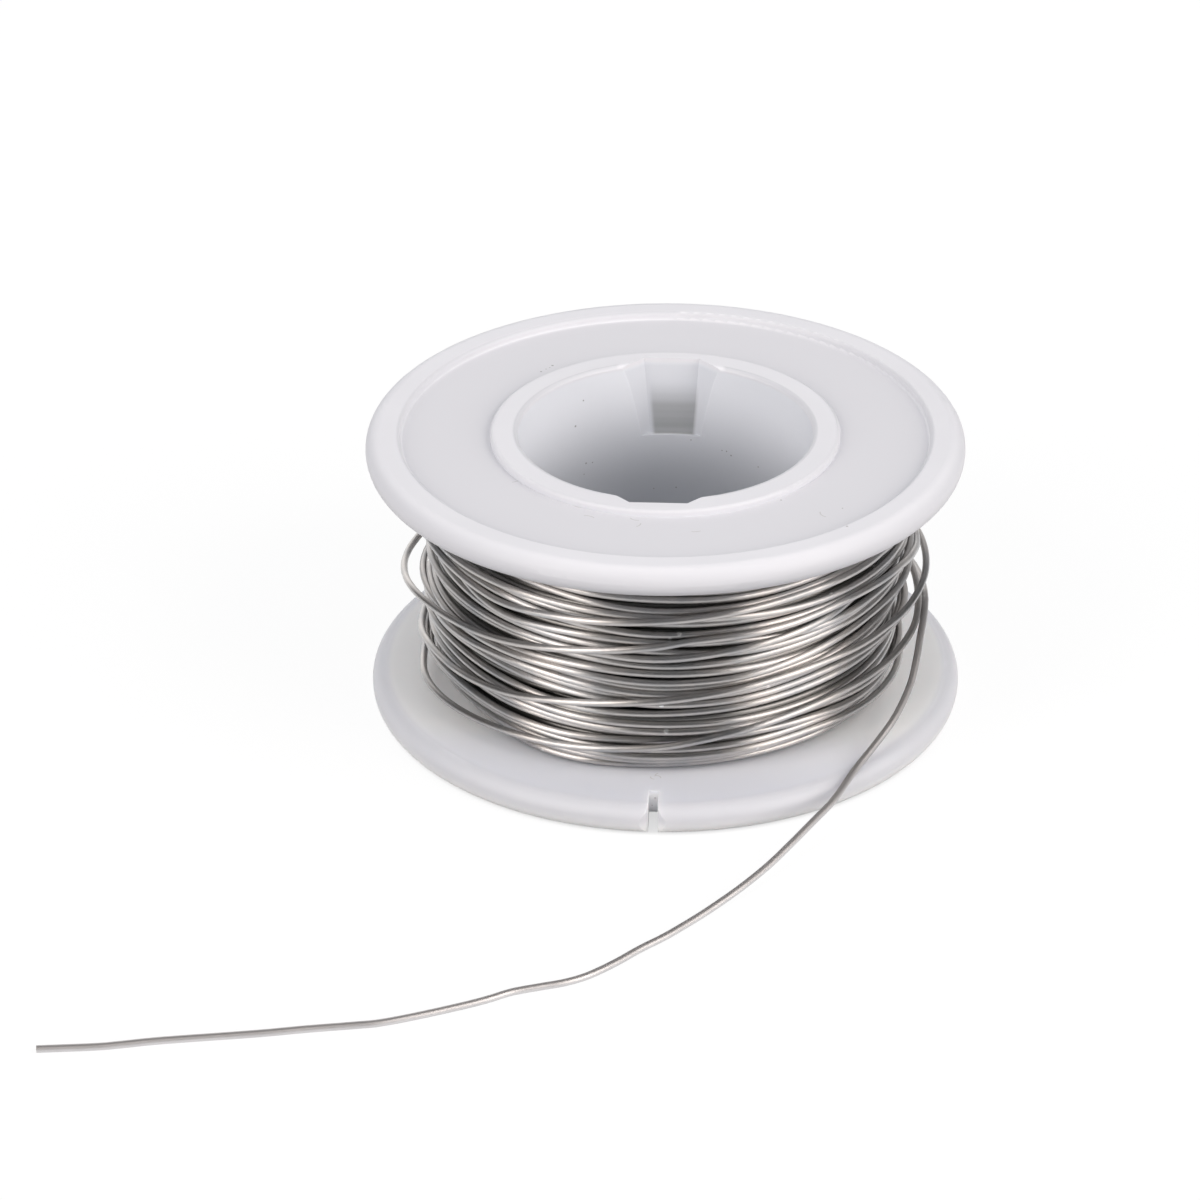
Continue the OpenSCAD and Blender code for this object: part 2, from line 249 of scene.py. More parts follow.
# %% Turns under them
# Two passes, one down the reel and one up, level but never quite even
UNDER_TURNS = 27
DOWN_THE_REEL = 21.5, 3.1
UP_THE_REEL = 3.4, 21.2
UNDER_WANDER = 0.35
UNDER_SOFTNESS = 7
EVERY_OTHER = range(1, UNDER_TURNS, 2)
SEED = 23
rng = np.random.default_rng(SEED)


def under_marks(first, last):
    """Marks of one pass from the first height to the last, each turn leaning a little its own way."""
    level = np.linspace(first, last, UNDER_TURNS)
    lean = rng.uniform(-UNDER_WANDER, UNDER_WANDER, (UNDER_TURNS, 3))
    spread = [np.interp(SIDES, SIDES[::3], row) for row in lean]
    return level[:, None] + spread


passes = np.vstack([under_marks(*DOWN_THE_REEL), under_marks(*UP_THE_REEL)])
under_heights = turn_heights(passes, UNDER_SOFTNESS)
print(len(under_heights), "turns under them")

# %% [markdown]
# ## What each turn rests on
#
# The packed wire deep inside is taken as one round body, lower at both flanges and dented on the left, where
# the reel was wound slackly. The layers are then laid on it one after another, and in each the turns that
# lie uppermost come last. A physics simulation could find the same places, but it takes minutes and comes
# out a little different each time. One rule does it here: at each station, a turn lies no lower than the
# wires below it allow.

# %% Radius of the packed wire
TOP_DROP, TOP_REACH = 0.6 * MM, 1.2 * MM
FOOT_DROP, FOOT_REACH = 1.3 * MM, 1.6 * MM
LEFT_DROP, LEFT_REACH = 0.6 * MM, 3.0 * MM
DENT, DENT_HEIGHT, DENT_REACH = 0.9 * MM, 17.6 * MM, 3.0 * MM
left_side = np.clip(-np.sin(np.radians(azimuth)), 0, 1)


def core_radius(height, left):
    """Radius of the packed wire below: rounded off towards both flanges, and uneven on the left."""
    from_top = np.maximum(ROOF_OF_REEL - height, 0)
    from_foot = np.maximum(height - FLOOR_OF_REEL, 0)
    drop = TOP_DROP * np.exp(-from_top / TOP_REACH) + FOOT_DROP * np.exp(-from_foot / FOOT_REACH)
    drop += left * LEFT_DROP * np.exp(-from_foot / LEFT_REACH)
    drop += left**3 * DENT * np.exp(-(((height - DENT_HEIGHT) / DENT_REACH) ** 2))
    return CORE_RADIUS - drop


print(f"packed wire at the foot: {core_radius(FLOOR_OF_REEL, 0) / MM:.1f} mm from the axle")

# %% Laying the turns
SLACK_STATIONS = 3
# Soft wire gives where it crosses another, and sinks into the loose turns below
SETTLE = 0.75


def slack(rest):
    """Never inside the resting radius, and smooth: the highest spot nearby, then the mean of those."""
    reach = range(2 * SLACK_STATIONS + 1)
    padded = np.pad(rest, SLACK_STATIONS, mode="edge")
    highest = np.max([padded[k : k + len(rest)] for k in reach], axis=0)
    padded = np.pad(highest, SLACK_STATIONS, mode="edge")
    return np.mean([padded[k : k + len(rest)] for k in reach], axis=0)


def rest_on(height, laid, left):
    """Least radius at each station for a wire at that height, over the turns that are already laid."""
    rest = core_radius(height, left) + WIRE / 2
    for height_below, radius_below in laid:
        gap = np.abs(height - height_below)
        over = radius_below + SETTLE * np.sqrt(np.clip(WIRE**2 - gap**2, 0, None))
        rest = np.where(gap < WIRE, np.maximum(rest, over), rest)
    return rest


def lay(heights, uppermost, laid):
    """One pass over the turns already laid: the uppermost last, so that they settle between the rest."""
    radii = {}
    below = list(laid)
    for turn in sorted(range(len(heights)), key=lambda turn: turn in uppermost):
        radii[turn] = slack(rest_on(heights[turn], below, left_side))
        below.append((heights[turn], radii[turn]))
    return laid + [(height, radii[turn]) for turn, height in enumerate(heights)]


laid = lay(under_heights[:UNDER_TURNS], EVERY_OTHER, [])
laid = lay(under_heights[UNDER_TURNS:], EVERY_OTHER, laid)
laid = lay(top_heights, UPPERMOST, laid)
print(len(laid), "turns laid")

# %% Turns that spring off
# At the winding's sides: the turn, its azimuth and half-width in degrees, and how far it stands off in mm
BULGES = [
    (9, -82, 24, 0.5), (13, -92, 24, 1.0), (17, -86, 20, 0.5), (21, -84, 22, 0.8),
    (22, -78, 24, 0.7), (4, 84, 26, 0.5), (7, 92, 22, 0.8), (12, 86, 22, 0.6), (16, 80, 20, 0.8),
    (20, 84, 22, 0.7), (23, 76, 20, 0.5),
]
for turn, side, width, height in BULGES:
    # The same array as in the list of laid turns, so it is changed there too
    turn_radius = laid[len(under_heights) + turn][1]
    turn_radius += height * MM * np.exp(-(((azimuth - side) / width) ** 2))
print(f"outermost turn: {max(r.max() for _, r in laid) / MM:.2f} mm from the axle")

# %% [markdown]
# ## Turns that stand off
#
# The last four turns were wound back too loosely. They cross the rest on a slant, stand off the winding at
# both sides, and the last one leads into the free end. No rule gives such loops, so they are one drawn
# line in round coordinates: azimuth, radius and height. Where a point would sink into the turns below, it
# is pushed out to rest on them.

# %% Slack turns
SLACK_STEPS = 6
# azimuth in degrees, falling as the wire goes round, then radius and height in mm
SLACK_ROUTE = [
    (180, 19.6, 19.0), (130, 19.8, 18.3), (100, 20.0, 17.7), (75, 19.8, 17.7), (60, 19.8, 17.9),
    (40, 19.8, 18.15), (20, 19.8, 18.0), (0, 19.8, 17.55), (-20, 19.8, 16.95), (-38, 19.8, 16.5),
    (-50, 19.8, 16.9), (-62, 19.9, 17.3), (-95, 20.3, 18.0), (-140, 20.0, 18.0), (-180, 19.8, 17.0),
    (-225, 20.0, 15.5), (-265, 21.0, 14.6), (-280, 20.9, 15.1), (-292, 20.5, 15.7), (-310, 20.0, 16.1),
    (-330, 19.9, 15.75), (-350, 19.9, 15.5), (-360, 19.9, 14.95), (-380, 19.9, 13.9), (-400, 20.0, 12.8),
    (-412, 20.2, 12.35), (-422, 20.8, 12.2), (-434, 21.65, 12.1), (-445, 22.05, 11.7), (-455, 22.05, 11.5),
    (-468, 21.45, 11.8), (-500, 20.4, 12.6), (-540, 20.0, 13.0), (-585, 20.7, 13.2), (-615, 21.75, 12.9),
    (-628, 22.0, 12.6), (-637, 21.9, 12.1), (-648, 21.3, 11.4), (-660, 20.5, 11.1), (-675, 20.0, 11.15),
    (-690, 19.9, 11.0), (-705, 19.9, 10.6), (-720, 19.9, 10.05), (-740, 19.9, 9.1), (-760, 19.9, 8.05),
    (-775, 19.9, 7.5), (-790, 20.0, 7.0), (-805, 20.1, 6.5), (-830, 20.0, 6.3), (-860, 20.0, 7.0),
    (-900, 20.0, 8.6), (-945, 20.4, 9.9), (-975, 21.1, 10.1), (-990, 21.4, 9.5), (-1000, 21.5, 8.7),
    (-1010, 21.1, 8.0), (-1022, 20.5, 7.55), (-1035, 20.0, 7.5), (-1050, 19.9, 7.25), (-1065, 19.9, 6.6),
    (-1080, 19.9, 5.55), (-1100, 19.9, 4.75), (-1115, 20.1, 4.45), (-1130, 20.6, 4.3), (-1142, 20.95, 4.2),
    (-1153, 20.95, 4.1), (-1165, 20.5, 4.2), (-1185, 20.1, 4.6), (-1220, 20.2, 5.6), (-1260, 20.8, 6.9),
    (-1300, 21.6, 8.2), (-1330, 21.9, 8.8), (-1350, 22.0, 9.0),
]

slack_line = smooth_line(SLACK_ROUTE, SLACK_STEPS)
slack_turn = np.radians(slack_line[:, 0])
slack_radius = slack_line[:, 1] * MM
slack_height = slack_line[:, 2] * MM
station = np.round((180 - slack_line[:, 0]) * STATIONS / 360).astype(int) % STATIONS
needed = []
for height_here, spot in zip(slack_height, station):
    below = [(height[spot], radius[spot]) for height, radius in laid]
    needed.append(float(rest_on(height_here, below, left_side[spot])))
slack_radius += slack(np.maximum(np.array(needed) - slack_radius, 0))
print(f"slack turns: {(SLACK_ROUTE[0][0] - SLACK_ROUTE[-1][0]) / 360:.2f} times round the reel")

# %% [markdown]
# ## From lines to wire
#
# A tube round a line needs a ring of points at each step, square to the line. Curve objects make such tubes
# too, but they choose how each ring is turned, and long coils may twist. On a reel the direction away from
# the axle is a natural "up" for every ring, so a mesh tube that uses it never twists.

# %% Mesh pieces
def mesh_object(name, points, faces):
    """A mesh object that rides with the reel. Its end faces, with more than four corners, stay flat."""
    mesh = bpy.data.meshes.new(name)
    mesh.from_pydata([tuple(p) for p in points], [], faces)
    mesh.polygons.foreach_set("use_smooth", [len(face) == 4 for face in faces])
    mesh.update()
    piece = bpy.data.objects.new(name, mesh)
    bpy.context.scene.collection.objects.link(piece)
    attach(piece, "root")
    return piece


def unit(vectors):
    """Vectors of length one."""
    return vectors / np.linalg.norm(vectors, axis=-1, keepdims=True)


def round_the_axle(angle, radius, height):
    """Points from azimuth in radians, radius and height. Azimuth 0 is the front, and grows to the right."""
    return np.stack([radius * np.sin(angle), -radius * np.cos(angle), height], axis=-1)


print("front of the flange:", round_the_axle(0.0, 25.0, 0.0))

# %% Tube round a line
EVEN_OUT = 2


def tube(line, thickness, sides):
    """Points and faces of a closed tube along a line that goes round the axle, of one or changing width."""
    half = np.broadcast_to(thickness, len(line))[:, None, None] / 2
    along = unit(np.gradient(line, axis=0))
    outward = line * [1, 1, 0]
    outward = outward - (outward * along).sum(1, keepdims=True) * along
    outward = unit(outward)
    across = np.cross(along, outward)
    turn = 2 * np.pi * np.arange(sides) / sides
    rings = line[:, None] + half * (
        np.cos(turn)[None, :, None] * outward[:, None] + np.sin(turn)[None, :, None] * across[:, None]
    )
    faces = []
    for ring in range(len(line) - 1):
        for side in range(sides):
            a = ring * sides + side
            b = ring * sides + (side + 1) % sides
            faces.append((a, b, b + sides, a + sides))
    faces.append(tuple(range(sides))[::-1])
    faces.append(tuple(range((len(line) - 1) * sides, len(line) * sides)))
    return rings.reshape(-1, 3), faces


def unrolled(turns):
    """One line round the axle through every station of the turns, evened out over its neighbours."""
    heights = np.concatenate([height for height, _ in turns])
    radii = np.concatenate([radius for _, radius in turns])
    window = np.ones(2 * EVEN_OUT + 1) / (2 * EVEN_OUT + 1)
    radii = np.convolve(np.pad(radii, EVEN_OUT, mode="edge"), window, mode="valid")
    angle = np.radians(180 - 360 * np.arange(len(heights)) / STATIONS)
    return round_the_axle(angle, radii, heights)


print(f"one turn is {length_of(unrolled(laid[-1:])) / MM:.0f} mm of wire")

# %% The wound wire
TOP_SIDES = 10
UNDER_SIDES = 8
under_turns = laid[: len(under_heights)]
top_turns = laid[len(under_heights) :]

under = mesh_object("inner_turns", *tube(unrolled(under_turns), WIRE, UNDER_SIDES))
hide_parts("inner_winding")

top = mesh_object("outer_turns", *tube(unrolled(top_turns), WIRE, TOP_SIDES))
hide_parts("outer_winding")

# The last turn runs on inside the free end and gets thinner there, so that no end face shows between them
TUCKED_IN = (0.9, 0.8, 0.7)
slack_path = round_the_axle(slack_turn, slack_radius, slack_height)
slack_width = np.append(np.ones(len(slack_path)), TUCKED_IN) * WIRE
slack_path = np.vstack([slack_path, tail_line[1 : 1 + len(TUCKED_IN)]])
loops = mesh_object("slack_turns", *tube(slack_path, slack_width, TOP_SIDES))
for piece in (under, top, loops):
    print(piece.name, len(piece.data.polygons), "faces")

# %% [markdown]
# ## The packed wire below
#
# Under the turns that can be seen lie many more. Only a hint of them shows, deep in the gaps, so drawing
# each of them would be wasted. They are one closed ring whose outside is ridged like wire lying side by side.

# %% Packed core
BARREL_RADIUS = 14.92 * MM
FLANGE_GAP = 0.05 * MM
RIDGE_POINTS = 6
CORE_SEGMENTS = 120

ridge_count = int((ROOF_OF_REEL - FLOOR_OF_REEL - 2 * WIRE_TO_FLANGE) / WIRE)
core_low = FLOOR_OF_REEL + FLANGE_GAP
core_high = ROOF_OF_REEL - FLANGE_GAP
profile_height = np.linspace(core_low, core_high, ridge_count * RIDGE_POINTS + 1)
share_up = (profile_height - core_low) / (core_high - core_low)
ridge = np.abs(np.sin(np.pi * share_up * ridge_count))
profile_radius = core_radius(profile_height, 1) - WIRE / 2 + ridge * WIRE / 2
profile = np.array(
    [(BARREL_RADIUS, core_low), *zip(profile_radius, profile_height), (BARREL_RADIUS, core_high)]
)


def lathe(profile, segments):
    """Points and faces of a closed profile of (radius, height) turned round the axle."""
    angle = 2 * np.pi * np.arange(segments) / segments
    points = [round_the_axle(a, profile[:, 0], profile[:, 1]) for a in angle]
    count = len(profile)
    faces = []
    for s in range(segments):
        for p in range(count):
            here = s * count
            there = (s + 1) % segments * count
            q = (p + 1) % count
            faces.append((here + p, there + p, there + q, here + q))
    return np.concatenate(points), faces


core = mesh_object("packed_turns", *lathe(profile, CORE_SEGMENTS))
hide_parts("inner_winding")
print(f"packed core: {ridge_count} ridges")

# %% [markdown]
# ## Shader sums as plain expressions
#
# A material is a sum of masks and noises. Wired by hand, node after node, that is hard to read. So one small
# class stands for a socket, and adding or multiplying two of them adds the Math node. A second class holds
# the material: it makes any other node, and sets the shader's own sockets.

# %% Sockets that add up
class Sum:
    """A value in a material that can be used in an expression."""

    def __init__(self, paint, socket):
        self.paint = paint
        self.socket = socket

    def _math(self, operation, *values):
        node = self.paint.node("ShaderNodeMath", dict(operation=operation), dict(enumerate(values)))
        return Sum(self.paint, node.outputs[0])

    def __add__(self, other):
        return self._math("ADD", self, other)

    def __radd__(self, other):
        return self._math("ADD", other, self)

    def __sub__(self, other):
        return self._math("SUBTRACT", self, other)

    def __rsub__(self, other):
        return self._math("SUBTRACT", other, self)

    def __mul__(self, other):
        return self._math("MULTIPLY", self, other)

    def __rmul__(self, other):
        return self._math("MULTIPLY", other, self)

    def __lt__(self, other):
        return self._math("LESS_THAN", self, other)

    def __abs__(self):
        return self._math("ABSOLUTE", self)

    def power(self, other):
        return self._math("POWER", self, other)

    def angle(self, other):
        return self._math("ARCTAN2", self, other)

    def at_least(self, other):
        return self._math("MAXIMUM", self, other)

    def ramp(self, low, high):
        """0 below low, 1 above high, smooth between."""
        inputs = {0: self, 1: low, 2: high}
        node = self.paint.node("ShaderNodeMapRange", dict(interpolation_type="SMOOTHSTEP"), inputs)
        return Sum(self.paint, node.outputs[0])


print("Sum knows", ", ".join(name for name in vars(Sum) if not name.startswith("_")))

# %% A material under construction
class Paint:
    """One material under construction."""

    def __init__(self, name):
        self.material = bpy.data.materials.new(name)
        self.material.use_nodes = True
        self.tree = self.material.node_tree
        self.shader = self.tree.nodes["Principled BSDF"]

    def node(self, kind, settings=None, inputs=None):
        """A node of that kind, its settings first, then the values or links of its sockets."""
        node = self.tree.nodes.new(kind)
        for key, value in (settings or {}).items():
            setattr(node, key, value)
        for key, value in (inputs or {}).items():
            self.fill(node.inputs[key], value)
        return node

    def fill(self, socket, value):
        """Links a sum or another socket to this one, or sets a plain value on it."""
        if isinstance(value, Sum):
            value = value.socket
        if isinstance(value, bpy.types.NodeSocket):
            self.tree.links.new(value, socket)
        else:
            socket.default_value = value

    def set(self, **values):
        """Values or links of the shader's own sockets, with underscores for spaces."""
        for key, value in values.items():
            self.fill(self.shader.inputs[key.replace("_", " ")], value)

    def place(self):
        """x, y and z of the point on the object, in metres."""
        where = self.node("ShaderNodeTexCoord").outputs["Object"]
        split = self.node("ShaderNodeSeparateXYZ", None, {0: where})
        return [Sum(self, split.outputs[k]) for k in range(3)]

    def point(self, x, y, z):
        """A vector from three sums or numbers."""
        node = self.node("ShaderNodeCombineXYZ", None, {0: x, 1: y, 2: z})
        return node.outputs[0]

    def noise(self, vector, scale, detail=2.0, roughness=0.5):
        """Soft noise from 0 to 1."""
        inputs = {"Vector": vector, "Scale": scale, "Detail": detail, "Roughness": roughness}
        node = self.node("ShaderNodeTexNoise", None, inputs)
        return Sum(self, node.outputs[0])

    def spots(self, vector, scale):
        """Distance to the nearest of many scattered spots, in cells."""
        inputs = {"Vector": vector, "Scale": scale, "Randomness": 1.0}
        node = self.node("ShaderNodeTexVoronoi", dict(feature="F1"), inputs)
        return Sum(self, node.outputs["Distance"])

    def distance(self, x, y, z):
        """Distance in metres to one place on the object, given in mm."""
        where = self.node("ShaderNodeTexCoord").outputs["Object"]
        place = (x * MM, y * MM, z * MM)
        node = self.node("ShaderNodeVectorMath", dict(operation="DISTANCE"), {0: where, 1: place})
        return Sum(self, node.outputs["Value"])

    def mix(self, factor, first, second):
        """A colour between two colours."""
        inputs = {0: factor, 6: first, 7: second}
        node = self.node("ShaderNodeMix", dict(data_type="RGBA"), inputs)
        return node.outputs[2]

    def bump(self, height, depth):
        """A normal from a height between 0 and 1 that stands for that depth in metres."""
        inputs = {"Height": height, "Distance": depth, "Strength": 1.0}
        node = self.node("ShaderNodeBump", None, inputs)
        return node.outputs["Normal"]


print("Paint knows", ", ".join(name for name in vars(Paint) if not name.startswith("_")))

# %% [markdown]
# ## Solder
#
# Solder is drawn through a die, so it has fine marks along its length and a soft satin shine, and it dulls
# in the air unevenly. A picture of scratched metal could be wrapped round it, but would blur close up. Noise
# doesn't: stretched round the axle, and fine in height and radius, it gives marks that run along the wire.
# The marks also spread a reflection across the wire, which the shader's anisotropy does, and a thin coat
# brings back the sharper glint of fresh metal.

# %% Colours and marks of solder
SOLDER = (0.555, 0.532, 0.52, 1)
SOLDER_DULL = (0.425, 0.428, 0.44, 1)
# The darkest colour is painted shade, for the wire deep in the gaps
SOLDER_PAINTED_SHADE = (0.24, 0.235, 0.23, 1)
# Fresh metal at nicks, lighter also to paint small glints
SOLDER_FRESH_AND_GLINT = (0.85, 0.85, 0.85, 1)
SOLDER_ROUGHNESS = 0.36
TARNISH = dict(scale=260.0, detail=3.0, roughness=0.6)
TARNISH_EDGES = 0.35, 0.75
TARNISH_ROUGHENS = 0.08
MARKS_AROUND, MARKS_ACROSS = 3, 4000
MARKS_ROUGHEN = 0.10
MARK_DEPTH = 0.0015 * MM
NICKS = 320.0
NICK_EDGES = 0.04, 0.09
NICK_DEPTH = 0.02 * MM
print(f"marks every {1000 / MARKS_ACROSS} mm across the wire, {MARK_DEPTH / MM} mm deep")

# %% Solder finish
def uneven(noise, share):
    """A noise from 0 to 1 as a small change up or down."""
    return (noise - 0.5) * share


def wound_solder(name, bright, dull):
    """Drawn tin alloy that lies round the axle, so that the marks of drawing run round with it."""
    paint = Paint(name)
    x, y, z = paint.place()
    where = paint.point(x, y, z)
    radius = (x * x + y * y).power(0.5)
    tarnish = paint.noise(where, **TARNISH)
    # Nicks are small bumps of fresh, lighter metal; the lighter colour also paints small glints
    nick_and_glint = 1 - paint.spots(where, NICKS).ramp(*NICK_EDGES)
    stretched = paint.point(x.angle(y) * MARKS_AROUND, radius * MARKS_ACROSS, z * MARKS_ACROSS)
    drawn = paint.noise(stretched, 1.0)
    colour = paint.mix(tarnish.ramp(*TARNISH_EDGES), bright, dull)
    paint.set(
        Base_Color=paint.mix(nick_and_glint, colour, SOLDER_FRESH_AND_GLINT),
        Metallic=1.0,
        Roughness=SOLDER_ROUGHNESS + uneven(tarnish, TARNISH_ROUGHENS) + uneven(drawn, MARKS_ROUGHEN),
        Normal=paint.bump(drawn * (MARK_DEPTH / NICK_DEPTH) + nick_and_glint, NICK_DEPTH),
        Coat_Weight=0.5,
        Coat_Roughness=0.16,
        Coat_IOR=1.6,
    )
    # The reflection spreads hardly along the wire, and widely a quarter turn from that, across it
    paint.set(Anisotropic=0.87, Anisotropic_Rotation=0.25)
    return paint.material


wound = wound_solder("solder_wire", SOLDER, SOLDER_DULL)
# The turns underneath and the packed core wear a much darker copy of the solder: painted shade deep in the
# gaps
shaded_solder = wound_solder("solder_painted_shade", SOLDER_PAINTED_SHADE, SOLDER_PAINTED_SHADE)
for piece in (top, loops):
    piece.data.materials.append(wound)
for piece in (under, core):
    piece.data.materials.append(shaded_solder)
print("finished:", wound.name, shaded_solder.name)

# %% [markdown]
# ## Finish of the free end and the flux
#
# Rubbed by fingers and dragged over the table, the free end is more matt than the winding. Its colour is
# paler, lighter where it lies on the table and darker where it rises from it: painted light and shade. The
# winding's finish wouldn't do: its marks run round the axle, and this wire doesn't. A plain satin metal does,
# with the same tarnish. The flux in the cut end is amber rosin, glossy where it broke and speckled.

# %% Free end and flux
# Lighter on the table and darker above it: painted light and shade
SOLDER_TABLE_LIGHT = (0.68, 0.665, 0.67, 1)
SOLDER_SHADE_ABOVE_TABLE = (0.46, 0.45, 0.455, 1)
RUBBED_ROUGHNESS = 0.52
RUBBED_UNEVEN = 0.1
RUBBED_TARNISH = 0.25
OFF_THE_TABLE = 0.8 * MM, 4.0 * MM
FLUX_AMBER = (0.33, 0.20, 0.07, 1)
FLUX_BROWN = (0.24, 0.13, 0.05, 1)
FLUX_ROUGHNESS = 0.25
FLUX_UNEVEN = 0.15
FLUX_SPECKLE = 9000.0

handled = Paint("solder_free_end")
x, y, z = handled.place()
tarnish = handled.noise(handled.point(x, y, z), **TARNISH)
# Painted light and shade: lighter where the wire lies on the table, darker where it rises
table_light_and_shade = handled.mix(z.ramp(*OFF_THE_TABLE), SOLDER_TABLE_LIGHT, SOLDER_SHADE_ABOVE_TABLE)
handled.set(
    Base_Color=handled.mix(tarnish.ramp(*TARNISH_EDGES) * RUBBED_TARNISH, table_light_and_shade, SOLDER_DULL),
    Metallic=1.0,
    Roughness=RUBBED_ROUGHNESS + uneven(tarnish, RUBBED_UNEVEN),
)
tail.data.materials.append(handled.material)

rosin = Paint("rosin_flux_core")
x, y, z = rosin.place()
speckle = rosin.noise(rosin.point(x, y, z), FLUX_SPECKLE)
rosin.set(
    Base_Color=rosin.mix(speckle, FLUX_AMBER, FLUX_BROWN),
    Roughness=FLUX_ROUGHNESS + speckle * FLUX_UNEVEN,
)
flux.data.materials.append(rosin.material)
print("finished:", handled.material.name, rosin.material.name)

# %% [markdown]
# ## White plastic
#
# The reel is moulded in natural white polypropylene: milky, faintly cool, and soft in its shine. One flat
# white would look like paper. Moulded faces are never perfectly even, so a broad noise clouds the colour and
# the gloss, and a finer one gives the surface a faint orange-peel. One function makes this plastic for all
# three mouldings. What is particular to each is then brushed over its tint, layer by layer, by masks in
# height and in distance from the axle.

# %% Plastic finish
PLASTIC = (0.83, 0.825, 0.86, 1)
PLASTIC_CLOUD = (0.81, 0.805, 0.84, 1)
# The tint round the flanges' outer edge is painted shade
PLASTIC_RIM_SHADE = (0.715, 0.715, 0.755, 1)
PLASTIC_ROUGHNESS = 0.52
CLOUD = dict(scale=90.0, detail=3.0)
CLOUD_EDGES = 0.3, 0.7
CLOUD_ROUGHENS = 0.12
PEEL_SCALE = 1400.0
PEEL_DEPTH = 0.004 * MM
OUTER_EDGE = 24.1 * MM, 24.9 * MM


def plastic(name, milky):
    """White moulded plastic, still without its tint. Milky plastic lets light in."""
    paint = Paint(name)
    x, y, z = paint.x, paint.y, paint.z = paint.place()
    paint.radius = (x * x + y * y).power(0.5)
    where = paint.point(x, y, z)
    paint.cloud = paint.noise(where, **CLOUD)
    paint.set(
        Roughness=PLASTIC_ROUGHNESS + uneven(paint.cloud, CLOUD_ROUGHENS),
        Normal=paint.bump(paint.noise(where, PEEL_SCALE), PEEL_DEPTH),
        Subsurface_Weight=1.0 if milky else 0.0,
        Subsurface_Radius=(1.0, 0.95, 0.95),
        Subsurface_Scale=1.2 * MM,
        IOR=1.49,
    )
    return paint


def clouded_white_with_rim_shade(paint):
    """The plastic's own colour, with painted shade round the outer edge of the flanges."""
    clouded = paint.mix(paint.cloud.ramp(*CLOUD_EDGES), PLASTIC, PLASTIC_CLOUD)
    return paint.mix(paint.radius.ramp(*OUTER_EDGE), clouded, PLASTIC_RIM_SHADE)


def brush(paint, share, colour):
    """Lays a colour over the paint's tint, by a share from 0 to 1."""
    paint.tint = paint.mix(share, paint.tint, colour)


def between(value, low, high, soft):
    """1 between low and high, 0 outside, over a soft edge of that width at both."""
    return value.ramp(low - soft / 2, low + soft / 2) * (1 - value.ramp(high - soft / 2, high + soft / 2))


print("plastic ready, roughness about", PLASTIC_ROUGHNESS)

# %% [markdown]
# ## Upper flange
#
# Dark wire lies right behind the recess and greys it a little, while the thick rim stays white. Real
# see-through plastic would show that by itself, but it renders slowly and with grain. A slightly darker tint
# inside the rim paints that shade instead. The small step up to the rim mirrors the lamps, so it gets a
# darker tint, painted shade that tones down that highlight.

# %% Upper flange
# Painted shade: inside the rim, and on the step up to it
PLASTIC_SHADE_OVER_WIRE = (0.745, 0.74, 0.775, 1)
PLASTIC_EDGE_SHADE = (0.69, 0.69, 0.725, 1)
# Each pair says where a mask starts and where it is full
RECESS_ENDS = 21.4 * MM, 22.2 * MM
STEP_STARTS = 21.95 * MM, 22.08 * MM
STEP_ENDS = 22.25 * MM, 22.5 * MM

upper = plastic("upper_flange_plastic", False)
upper.tint = clouded_white_with_rim_shade(upper)
# Painted shade over the wire inside the rim
brush(upper, 1 - upper.radius.ramp(*RECESS_ENDS), PLASTIC_SHADE_OVER_WIRE)
# Painted shade on the step up to the rim, against its highlight
brush(upper, upper.radius.ramp(*STEP_STARTS) * (1 - upper.radius.ramp(*STEP_ENDS)), PLASTIC_EDGE_SHADE)
print("brushed:", upper.material.name)

# %% [markdown]
# ## Lower flange
#
# The lower flange is shaded by the winding and the flange above, yet it looks almost as white, because milky
# plastic hands light on from its bright parts to its dark ones. A lamp between the flanges would light it
# up, but the wire too. So this plastic lets light in, which the shader's subsurface part does, and its flat
# gets painted light, a lighter tint, except at the front, where the lamps reach it and a darker tint paints
# shade. The rim's top and sides are painted darker and its rounded foot lighter, as painted shade and light.
# Most light comes through beside the slit, so the slit's inner faces get painted light: a lighter tint and a
# very faint glow.

# %% Lower flange
# Painted light and shade: the lighter flat, the darker front and rim, the lighter foot and slit
FLANGE_PAINTED_LIGHT = (0.95, 0.955, 0.99, 1)
FLANGE_FRONT_SHADE = (0.735, 0.75, 0.805, 1)
LOWER_RIM_SHADE = (0.66, 0.665, 0.70, 1)
LOWER_ROUND_LIGHT = (0.93, 0.93, 0.95, 1)
SLIT_PAINTED_LIGHT = (0.93, 0.93, 0.96, 1)
BLACK, WHITE = (0, 0, 0, 1), (1, 1, 1, 1)
FLAT_ENDS = 23.2 * MM, 24.4 * MM
FRONT_TO_MIDDLE = -23 * MM, -8 * MM
ROUND_FOOT_ENDS = 0.4 * MM, 1.7 * MM
SLIT_HALF = 0.42 * MM
SLIT_FOOT = -21.85 * MM
SLIT_TOP = 2.2 * MM, 2.5 * MM

lower = plastic("lower_flange_plastic", True)
flat = 1 - lower.radius.ramp(*FLAT_ENDS)
# Painted light on the flat, with a darker tint at the front as painted shade
level = lower.mix(lower.y.ramp(*FRONT_TO_MIDDLE), FLANGE_FRONT_SHADE, FLANGE_PAINTED_LIGHT)
# Painted shade on the rim, painted light on its rounded foot
lower.tint = lower.mix(lower.z.ramp(*ROUND_FOOT_ENDS), LOWER_ROUND_LIGHT, LOWER_RIM_SHADE)
brush(lower, flat, level)
